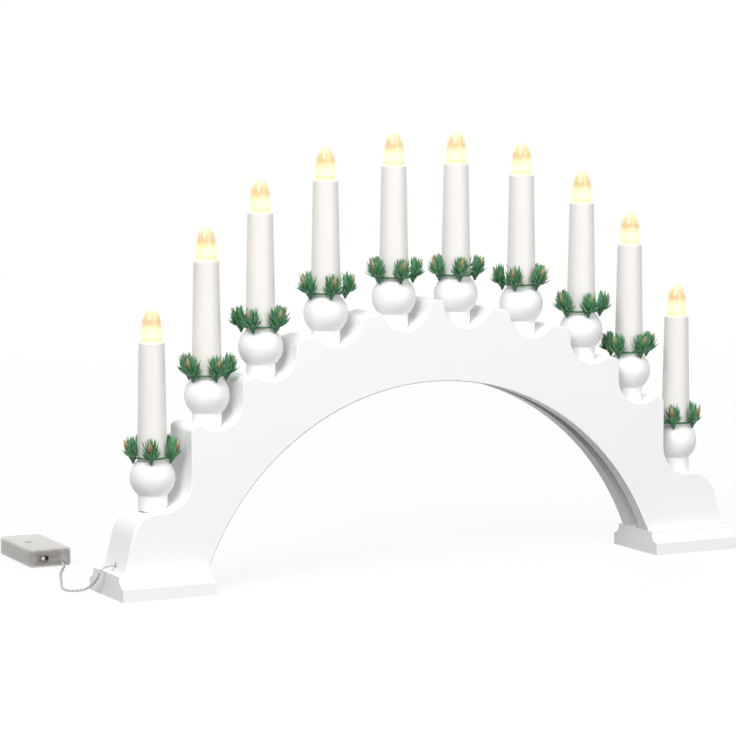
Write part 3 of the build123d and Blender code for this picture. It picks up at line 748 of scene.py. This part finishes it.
@dataclass
class Lead:
    """Twisted pair from the left leg to the battery box."""

    strand_radius: float = 0.00056
    strand_offset: float = 0.00054
    lay_length: float = 0.0066
    sides: int = 10
    box_corner: Vector = field(default_factory=lambda: Vector((-0.2903, 0.1456, 0.0)))
    box_turn: float = -2.2
    inlet: float = 0.028
    hole_reach: float = 0.27332
    hole_height: float = 0.024
    plinth_reach: float = 0.28274
    shares: tuple[tuple[float, float, float], ...] = (
        (-0.994, 0.0, 1.0), (-1.0155, -0.006, 0.908), (-1.0212, 0.015, 0.64), (-1.0218, 0.067, 0.408),
        (-1.0236, 0.121, 0.225), (-1.03, 0.162, 0.1), (-1.044, 0.183, 0.0), (-1.061, 0.194, 0.0),
        (-1.0727, 0.2266, 0.0), (-1.0717, 0.285, 0.0), (-1.0575, 0.3743, 0.0), (-1.0328, 0.4945, 0.0),
        (-1.0091, 0.625, 0.0), (-0.9843, 0.7418, 0.0), (-0.9585, 0.8413, 0.0),
    )
    rest: float = 0.00125
    inlet_height: float = 0.003
    run_in: tuple[float, float, float] = (-0.0055, -0.0022, 0.0016)
    steps: int = 24
    order: int = 3
    on_box: tuple[str, ...] = tuple(BOX_NODES)

    def boxed(self, along: float, height: float) -> Vector:
        """Point on the inlet's line in front of the battery box.

        Args:
            along: Distance behind the box's front face.
            height: Height above the floor.

        Returns:
            The point in the arch's frame.
        """
        turn = Matrix.Rotation(radians(self.box_turn), 3, "Z")
        return self.box_corner + turn @ Vector((self.inlet, along, height))

    def route(self) -> list[Vector]:
        """Control points of the lead, from the leg to the box.

        Returns:
            The points in order.
        """
        rest = self.rest
        points = [Vector((-self.hole_reach, 0.0, self.hole_height))]
        for x_share, y_share, z_share in self.shares:
            height = max(self.hole_height * z_share, rest)
            points.append(Vector((self.plinth_reach * x_share, self.box_corner.y * y_share, height)))
        heights = (rest, self.inlet_height, self.inlet_height)
        return points + [self.boxed(along, height) for along, height in zip(self.run_in, heights)]

    def centre_line(self) -> list[Vector]:
        """Points along the route's own smooth curve.

        Returns:
            The curve's points in order.
        """
        curve = bpy.data.curves.new("lead_route", "CURVE")
        curve.dimensions = "3D"
        curve.resolution_u = self.steps
        spline = curve.splines.new("NURBS")
        route = self.route()
        spline.points.add(len(route) - 1)
        for knot, point in zip(spline.points, route):
            knot.co = (*point, 1.0)
        spline.order_u = self.order
        spline.use_endpoint_u = True
        holder = linked("lead_route", curve)
        graph = bpy.context.evaluated_depsgraph_get()
        line = bpy.data.meshes.new_from_object(holder.evaluated_get(graph))
        points = [vertex.co.copy() for vertex in line.vertices]
        bpy.data.objects.remove(holder)
        bpy.data.curves.remove(curve)
        bpy.data.meshes.remove(line)
        return points

    def strand(self, shape: bmesh.types.BMesh, path: list[Vector], phase: float) -> None:
        """Wind one insulated wire round the centre line.

        Args:
            shape: The mesh to add to.
            path: The centre line.
            phase: Where round the line the strand starts, in radians.
        """
        middle = []
        gone = 0.0
        side = Vector((0.0, 1.0, 0.0))
        for index, point in enumerate(path):
            before = path[max(index - 1, 0)]
            after = path[min(index + 1, len(path) - 1)]
            gone += (point - before).length
            way = (after - before).normalized()
            side = (side - way * side.dot(way)).normalized()
            angle = phase + tau * gone / self.lay_length
            out = side * cos(angle) + way.cross(side) * sin(angle)
            middle.append((point + out * self.strand_offset, way, out))
        rings = []
        for point, way, out in middle:
            across = way.cross(out)
            ring = []
            for step in range(self.sides):
                turn = tau * step / self.sides
                ring.append(shape.verts.new(point + (out * cos(turn) + across * sin(turn)) * self.strand_radius))
            rings.append(ring)
        join_rings(shape, rings)
        shape.faces.new(list(reversed(rings[0])))
        shape.faces.new(rings[-1])

    def build(self, paints: Paintbox) -> None:
        """Args:
            paints: The finishes.
        """
        path = self.centre_line()
        shape = bmesh.new()
        for phase in (0.0, pi):
            self.strand(shape, path, phase)
        mesh = smooth_mesh(shape, "twisted_lead")
        mesh.materials.append(paints.material(STRAND))
        piece = new_piece("twisted_lead", mesh, Body.ARCH.value)
        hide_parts("lead_cord")


@dataclass
class WreathTree(Bench):
    """Geometry nodes of one wreath: a wire ring and tufts of needles with a bud each.

    The fan, the lifts and the dip are in degrees, the sway in radians.
    A tone is a place along the needles' colours.
    """

    ring_radius: float = 0.0145
    wire_radius: float = 0.0008
    ring_height: float = 0.0164
    ring_tone: float = 0.2
    tuft_radius: float = 0.0164
    tuft_height: float = 0.0166
    tufts: int = 5
    sway: float = 0.1
    needles: int = 66
    needle_length: float = 0.0172
    needle_width: float = 0.0025
    needle_bow: float = 0.01
    taper_end: float = 1.05
    taper_rate: float = 2.6
    shortest: float = 0.78
    upright_width: float = 0.15
    level_width: float = 0.3
    outer_room: float = 0.0105
    end_room: float = 0.0074
    side_room: float = 0.0098
    inner_room: float = 0.0034
    least: float = 0.05
    fan: float = 118.0
    lift_span: float = 98.0
    lift_power: float = 0.75
    lift_start: float = 14.0
    lift_jitter: float = 7.0
    lift_least: float = 1.0
    side_dip: float = 16.0
    stub_depth: float = 0.0052
    stub_shift: float = 0.0008
    base_tone: float = 0.12
    bud_length: float = 0.0125
    bud_radius: float = 0.0028
    bud_lift: float = 64.0
    bud_waist: float = 1.05
    bud_taper: float = 0.75
    bud_scales: float = 0.3
    bud_reach: float = 0.78
    length_seed: float = 7.0
    shade_seed: float = 3.0
    sway_seed: float = 11.0
    sockets: dict[str, str] = field(default_factory=dict)
    tree: bpy.types.NodeTree | None = None
    given: bpy.types.NodeOutputs | None = None

    def build(self, paints: Paintbox) -> None:
        """Make the tree with named inputs.

        Args:
            paints: The finishes.
        """
        self.tree = bpy.data.node_groups.new("wreath", "GeometryNodeTree")
        sizes = {
            "Ring Radius": self.ring_radius, "Wire Radius": self.wire_radius, "Tuft Radius": self.tuft_radius,
            "Needle Length": self.needle_length, "Needle Width": self.needle_width,
            "Outer Room": self.outer_room, "Side Room": self.side_room, "Inner Room": self.inner_room,
        }
        counts = {"Tufts": self.tufts, "Needles": self.needles, "Seed": 1}
        for kind, group in (("NodeSocketFloat", sizes), ("NodeSocketInt", counts)):
            for label, usual in group.items():
                socket = self.tree.interface.new_socket(label, in_out="INPUT", socket_type=kind)
                socket.default_value = usual
                self.sockets[label] = socket.identifier
        self.tree.interface.new_socket("Geometry", in_out="OUTPUT", socket_type="NodeSocketGeometry")
        self.given = self.add("NodeGroupInput").outputs
        branches = [
            (self.ring(), NEEDLE),
            (self.on_ring(self.tuft()), NEEDLE),
            (self.on_ring(self.bud()), BUD),
        ]
        painted = []
        for geometry, finish in branches:
            solid = self.add("GeometryNodeRealizeInstances", {"Geometry": geometry}).outputs[0]
            paint = {"Geometry": solid, "Material": paints.material(finish)}
            painted.append(self.add("GeometryNodeSetMaterial", paint).outputs[0])
        self.add("NodeGroupOutput", {0: self.joined(painted)})

    def ring(self) -> Socket:
        """Wire ring that lies round the candle.

        Returns:
            The ring's geometry.
        """
        loop, section = [
            self.add("GeometryNodeCurvePrimitiveCircle", {"Resolution": steps, "Radius": self.given[size]}).outputs[0]
            for steps, size in ((64, "Ring Radius"), (8, "Wire Radius"))
        ]
        wire = self.add("GeometryNodeCurveToMesh", {0: loop, 1: section}).outputs[0]
        move = {"Geometry": wire, "Translation": (0.0, 0.0, self.ring_height)}
        return self.marked(self.add("GeometryNodeTransform", move).outputs[0], "along", self.ring_tone)

    def needle(self) -> Socket:
        """One needle of unit length along Z, tapered and bowed upward.

        Returns:
            The needle's geometry.
        """
        half = self.times(self.given["Needle Width"], 0.5)
        stalk = self.add("GeometryNodeMeshCone", {
            "Vertices": 5, "Side Segments": 4, "Radius Top": half, "Radius Bottom": half, "Depth": 1.0,
        })
        place = self.add("GeometryNodeInputPosition").outputs[0]
        height = self.add("ShaderNodeSeparateXYZ", {0: place}).outputs["Z"]
        named = self.marked(stalk.outputs["Mesh"], "along", height)
        left = self.minus(self.taper_end, height)
        taper = self.lower(1.0, self.times(left, self.taper_rate))
        bow = self.times(self.maths("POWER", height, 2.0), -self.needle_bow)
        shift = self.add("ShaderNodeCombineXYZ", {"X": bow})
        return self.add("GeometryNodeSetPosition", {
            "Geometry": named, "Position": self.slimmed(place, taper), "Offset": shift.outputs[0],
        }).outputs[0]

    def tuft(self) -> Socket:
        """Fan of needles that opens outward and upward from its root.

        Returns:
            The tuft's geometry, with its root at the origin.
        """
        index = self.add("GeometryNodeInputIndex").outputs[0]
        golden = self.maths("FRACT", self.times(index, GOLDEN))
        aside = self.minus(self.times(golden, 2.0), 1.0)
        swing = self.times(aside, radians(self.fan))
        lift = self.lift(index, aside)
        flat = self.maths("COSINE", lift)
        longest = self.lower(self.given["Needle Length"], self.room(flat, swing))
        vary = self.draw(self.shortest, 1.0, self.plus(self.given["Seed"], self.length_seed))
        size = self.add("ShaderNodeCombineXYZ", {
            "X": self.maths("MULTIPLY_ADD", flat, self.level_width, self.upright_width), "Y": 1.0,
            "Z": self.times(longest, vary),
        })
        tilt = self.add("ShaderNodeCombineXYZ", {"Y": self.minus(pi / 2, lift), "Z": swing})
        roots = self.add("GeometryNodePoints", {"Count": self.given["Needles"]})
        spread = self.add("GeometryNodeInstanceOnPoints", {
            "Points": roots.outputs[0], "Instance": self.needle(), "Rotation": tilt.outputs[0],
            "Scale": size.outputs[0],
        })
        shade = self.draw(0.0, 1.0, self.plus(self.given["Seed"], self.shade_seed))
        needles = self.marked(spread.outputs[0], "shade", shade, "INSTANCE")
        return self.joined([needles, self.base()])

    def base(self) -> Socket:
        """Knot and stub that a tuft's needles grow out of.

        Returns:
            Their geometry.
        """
        knot = self.add("GeometryNodeMeshIcoSphere", {"Radius": 0.0026, "Subdivisions": 2})
        stub = self.add("GeometryNodeMeshCone", {
            "Vertices": 10, "Radius Top": 0.003, "Radius Bottom": 0.0006, "Depth": self.stub_depth,
        })
        move = {"Geometry": stub.outputs["Mesh"], "Translation": (-self.stub_shift, 0.0, -self.stub_depth)}
        low = self.add("GeometryNodeTransform", move).outputs[0]
        return self.marked(self.joined([knot.outputs["Mesh"], low]), "along", self.base_tone)

    def lift(self, index: Socket, aside: Socket) -> Socket:
        """Angle of a needle above the level.

        Args:
            index: The needle's number.
            aside: Its place across the fan, from -1 to 1.

        Returns:
            The angle's socket, in radians.
        """
        share = self.over(self.plus(index, 0.5), self.given["Needles"])
        jitter = self.draw(-self.lift_jitter, self.lift_jitter, self.given["Seed"])
        dip = self.maths("POWER", self.maths("ABSOLUTE", aside), 2.0)
        lowest = self.maths("MULTIPLY_ADD", dip, -self.side_dip, self.lift_least)
        rise = self.times(self.maths("POWER", share, self.lift_power), self.lift_span)
        free = self.minus(self.plus(rise, jitter), self.lift_start)
        return self.maths("RADIANS", self.upper(free, lowest))

    def room(self, flat: Socket, swing: Socket) -> Socket:
        """Length that a needle has before it leaves its tuft's room.

        Args:
            flat: How level the needle lies, from 0 to 1.
            swing: Its angle from the outward way, in radians.

        Returns:
            The length's socket.
        """
        out = self.times(flat, self.maths("COSINE", swing))
        back = self.times(out, -1.0)
        inner = self.over(self.given["Inner Room"], self.upper(back, self.least))
        across = self.maths("ABSOLUTE", self.times(flat, self.maths("SINE", swing)))
        beside = self.over(self.given["Side Room"], self.upper(across, self.least))
        outer = self.reach(flat, out)
        return self.lower(self.lower(outer, inner), beside)

    def reach(self, flat: Socket, out: Socket) -> Socket:
        """Length at which a needle meets the circle about the candle that the tufts stay inside.

        Args:
            flat: How level the needle lies, from 0 to 1.
            out: How much of its way is outward, from -1 to 1.

        Returns:
            The length's socket.
        """
        tuft = self.given["Tuft Radius"]
        ring = self.plus(tuft, self.given["Outer Room"])
        span = self.minus(self.times(ring, ring), self.times(tuft, tuft))
        level = self.upper(self.times(flat, flat), self.least**2)
        inward = self.times(tuft, out)
        root = self.maths("SQRT", self.plus(self.times(inward, inward),
                                               self.times(level, span)))
        return self.over(self.minus(root, inward), level)

    def bud(self) -> Socket:
        """Pointed bud that leans outward out of its tuft.

        Returns:
            The bud's geometry, with the tuft's root at the origin.
        """
        ball = self.add("GeometryNodeMeshUVSphere", {"Segments": 12, "Rings": 12, "Radius": 1.0})
        place = self.add("GeometryNodeInputPosition").outputs[0]
        level = self.maths("MULTIPLY_ADD", self.add("ShaderNodeSeparateXYZ", {0: place}).outputs["Z"], 0.5, 0.5)
        named = self.marked(ball.outputs["Mesh"], "along", level)
        waist = self.minus(self.bud_waist, self.times(level, self.bud_taper))
        rows = self.maths("PINGPONG", self.times(level, BUD_ROWS), 0.5)
        girth = self.plus(waist, self.times(rows, self.bud_scales))
        shaped = self.add("GeometryNodeSetPosition", {"Geometry": named, "Position": self.slimmed(place, girth)})
        lean = radians(90.0 - self.bud_lift)
        reach = self.bud_length * self.bud_reach
        moved = self.add("GeometryNodeTransform", {
            "Geometry": shaped.outputs[0], "Translation": (reach * sin(lean), 0.0, reach * cos(lean)),
            "Rotation": (0.0, lean, 0.0), "Scale": (self.bud_radius, self.bud_radius, self.bud_length / 2),
        })
        return moved.outputs[0]

    def on_ring(self, piece: Socket) -> Socket:
        """Set a piece at each tuft's place on the ring, turned outward.

        Args:
            piece: The geometry to repeat.

        Returns:
            The instances.
        """
        circle = {"Vertices": self.given["Tufts"], "Radius": self.given["Tuft Radius"]}
        places = self.add("GeometryNodeMeshCircle", circle).outputs[0]
        move = {"Geometry": places, "Translation": (0.0, 0.0, self.tuft_height)}
        lifted = self.add("GeometryNodeTransform", move).outputs[0]
        index = self.add("GeometryNodeInputIndex").outputs[0]
        angle = self.over(self.times(index, tau), self.given["Tufts"])
        sway = self.draw(-self.sway, self.sway, self.plus(self.given["Seed"], self.sway_seed))
        turn = self.add("ShaderNodeCombineXYZ", {"X": sway, "Z": angle})
        return self.add("GeometryNodeInstanceOnPoints", {
            "Points": lifted, "Instance": piece, "Rotation": turn.outputs[0],
        }).outputs[0]

    def grow(self, number: int, place: Matrix) -> bpy.types.Mesh:
        """Plain mesh of one wreath.

        Args:
            number: The candle's number, which also seeds the wreath.
            place: Where the wreath sits.

        Returns:
            The mesh, in place.
        """
        holder = linked("wreath_maker", bpy.data.meshes.new("wreath_maker"))
        modifier = holder.modifiers.new("wreath", "NODES")
        modifier.node_group = self.tree
        modifier[self.sockets["Seed"]] = number
        modifier[self.sockets["Outer Room"]] = self.end_room if number in (1, CANDLES) else self.outer_room
        graph = bpy.context.evaluated_depsgraph_get()
        mesh = bpy.data.meshes.new_from_object(holder.evaluated_get(graph), preserve_all_data_layers=True,
                                               depsgraph=graph)
        holder.modifiers.remove(modifier)
        bpy.data.objects.remove(holder)
        mesh.transform(place)
        mesh.name = f"needle_wreath_{number:02d}"
        return mesh


@dataclass
class Candles:
    """The ten candles: cups, tubes, bulbs and wreaths."""

    ball_circle: float = 0.291
    centre_drop: float = 0.062
    angles: tuple[float, ...] = (5.7, 18.05, 30.4, 42.1, 57.65)
    shares: tuple[float, ...] = (0.993, 1.0015, 1.0065, 1.0015, 0.987)
    turns: tuple[float, ...] = (-117.0, -86.0, -139.0, -99.0, -95.0, -106.0, -139.0, -98.0, -83.0, -129.0)
    tube_end: float = 0.1067
    bulb_radius: float = 0.0082
    bulb_height: float = 0.0271
    tip_radius: float = 0.0049
    side_radius: float = 0.03
    bulb_wall: float = 0.0012
    dents: int = 10
    dent_depth: float = 0.00025
    dent_band: tuple[float, float] = (0.05, 0.18)
    segments: int = 40
    rings: int = 30

    def places(self) -> list[Vector]:
        """Ball centres from left to right.

        Returns:
            The ten points.
        """
        right = []
        for angle, share in zip(self.angles, self.shares):
            radius = self.ball_circle * share
            turn = radians(angle)
            right.append(Vector((radius * sin(turn), 0.0, radius * cos(turn) - self.centre_drop)))
        return [Vector((-point.x, 0.0, point.z)) for point in reversed(right)] + right

    def bulb_girth(self, height: float) -> float:
        """Radius of the bulb at a height above its foot.

        Args:
            height: Height above the candle's end.

        Returns:
            The radius there.
        """
        reach = self.bulb_radius - self.side_radius
        tip = self.bulb_height - self.tip_radius
        spread = sqrt((self.side_radius - self.tip_radius) ** 2 - reach**2)
        low = tip - spread
        meet = low + self.side_radius * spread / (self.side_radius - self.tip_radius)
        if height <= low:
            return self.bulb_radius
        if height <= meet:
            return reach + sqrt(self.side_radius**2 - (height - low) ** 2)
        return sqrt(max(self.tip_radius**2 - (height - tip) ** 2, 0.0))

    def bulb_wall_loops(self, shape: bmesh.types.BMesh, foot: Vector, inset: float) -> list[Ring]:
        """Rings of one wall of the bulb, from its foot to its tip.

        Args:
            shape: The mesh to add to.
            foot: Middle of the bulb's foot.
            inset: How far the wall lies inside the bulb's outside.

        Returns:
            The rings of vertices, joined to each other and closed at the tip.
        """
        level = shape.verts.layers.float["level"]
        loops = []
        low, high = self.dent_band
        for row in range(self.rings):
            share = sin(pi / 2 * row / self.rings)
            height = (self.bulb_height - inset) * share
            dented = inset == 0.0 and low < share < high
            loop = []
            for step in range(self.segments):
                angle = tau * step / self.segments
                dent = self.dent_depth * (1.0 + cos(self.dents * angle)) if dented else 0.0
                girth = self.bulb_girth(self.bulb_height * share) * (1.0 - inset / self.bulb_radius) - dent
                vertex = shape.verts.new(foot + Vector((girth * cos(angle), girth * sin(angle), height)))
                vertex[level] = share
                loop.append(vertex)
            loops.append(loop)
        tip = shape.verts.new(foot + Vector((0.0, 0.0, self.bulb_height - inset)))
        tip[level] = 1.0
        join_rings(shape, loops)
        for step in range(self.segments):
            shape.faces.new((loops[-1][step], loops[-1][(step + 1) % self.segments], tip))
        return loops

    def bulb_mesh(self, number: int, place: Vector) -> bpy.types.Mesh:
        """Hollow bulb with a ring of small facets round its foot.

        Args:
            number: The candle's number.
            place: The ball's centre.

        Returns:
            The mesh, in place.
        """
        shape = bmesh.new()
        shape.verts.layers.float.new("level")
        foot = place + Vector((0.0, 0.0, self.tube_end))
        outside = self.bulb_wall_loops(shape, foot, 0.0)
        inside = self.bulb_wall_loops(shape, foot, self.bulb_wall)
        join_rings(shape, [outside[0], inside[0]])
        return smooth_mesh(shape, f"lit_bulb_{number:02d}")

    def build(self, paints: Paintbox) -> None:
        """Dress the cups and tubes, and make the bulbs and wreaths.

        Args:
            paints: The finishes.
        """
        numbers = range(1, CANDLES + 1)
        paints.dress({f"ball_cup_{number:02d}": LACQUER for number in numbers})
        paints.dress({f"candle_tube_{number:02d}": CANDLE for number in numbers})
        tree = WreathTree()
        tree.build(paints)
        for number, place, turn in zip(numbers, self.places(), self.turns):
            bulb = self.bulb_mesh(number, place)
            bulb.materials.append(paints.material(BULB))
            piece = new_piece(bulb.name, bulb, Body.ARCH.value)
            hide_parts(f"bulb_{number:02d}")
            seat = Matrix.Translation(place) @ Matrix.Rotation(radians(turn), 4, "Z")
            wreath = tree.grow(number, seat)
            piece = new_piece(wreath.name, wreath, Body.WREATH.numbered(number))
            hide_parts(f"wreath_{number:02d}")


def main() -> None:
    """Build the studio and dress the arch, piece by piece."""
    logging.basicConfig(level=logging.INFO, format="%(message)s")
    paints = Paintbox()
    Studio().build()
    Lead().build(paints)
    paints.dress(ARCH_NODES)
    Candles().build(paints)
    paints.dress(BOX_NODES)


if __name__ == "__main__":
    main()
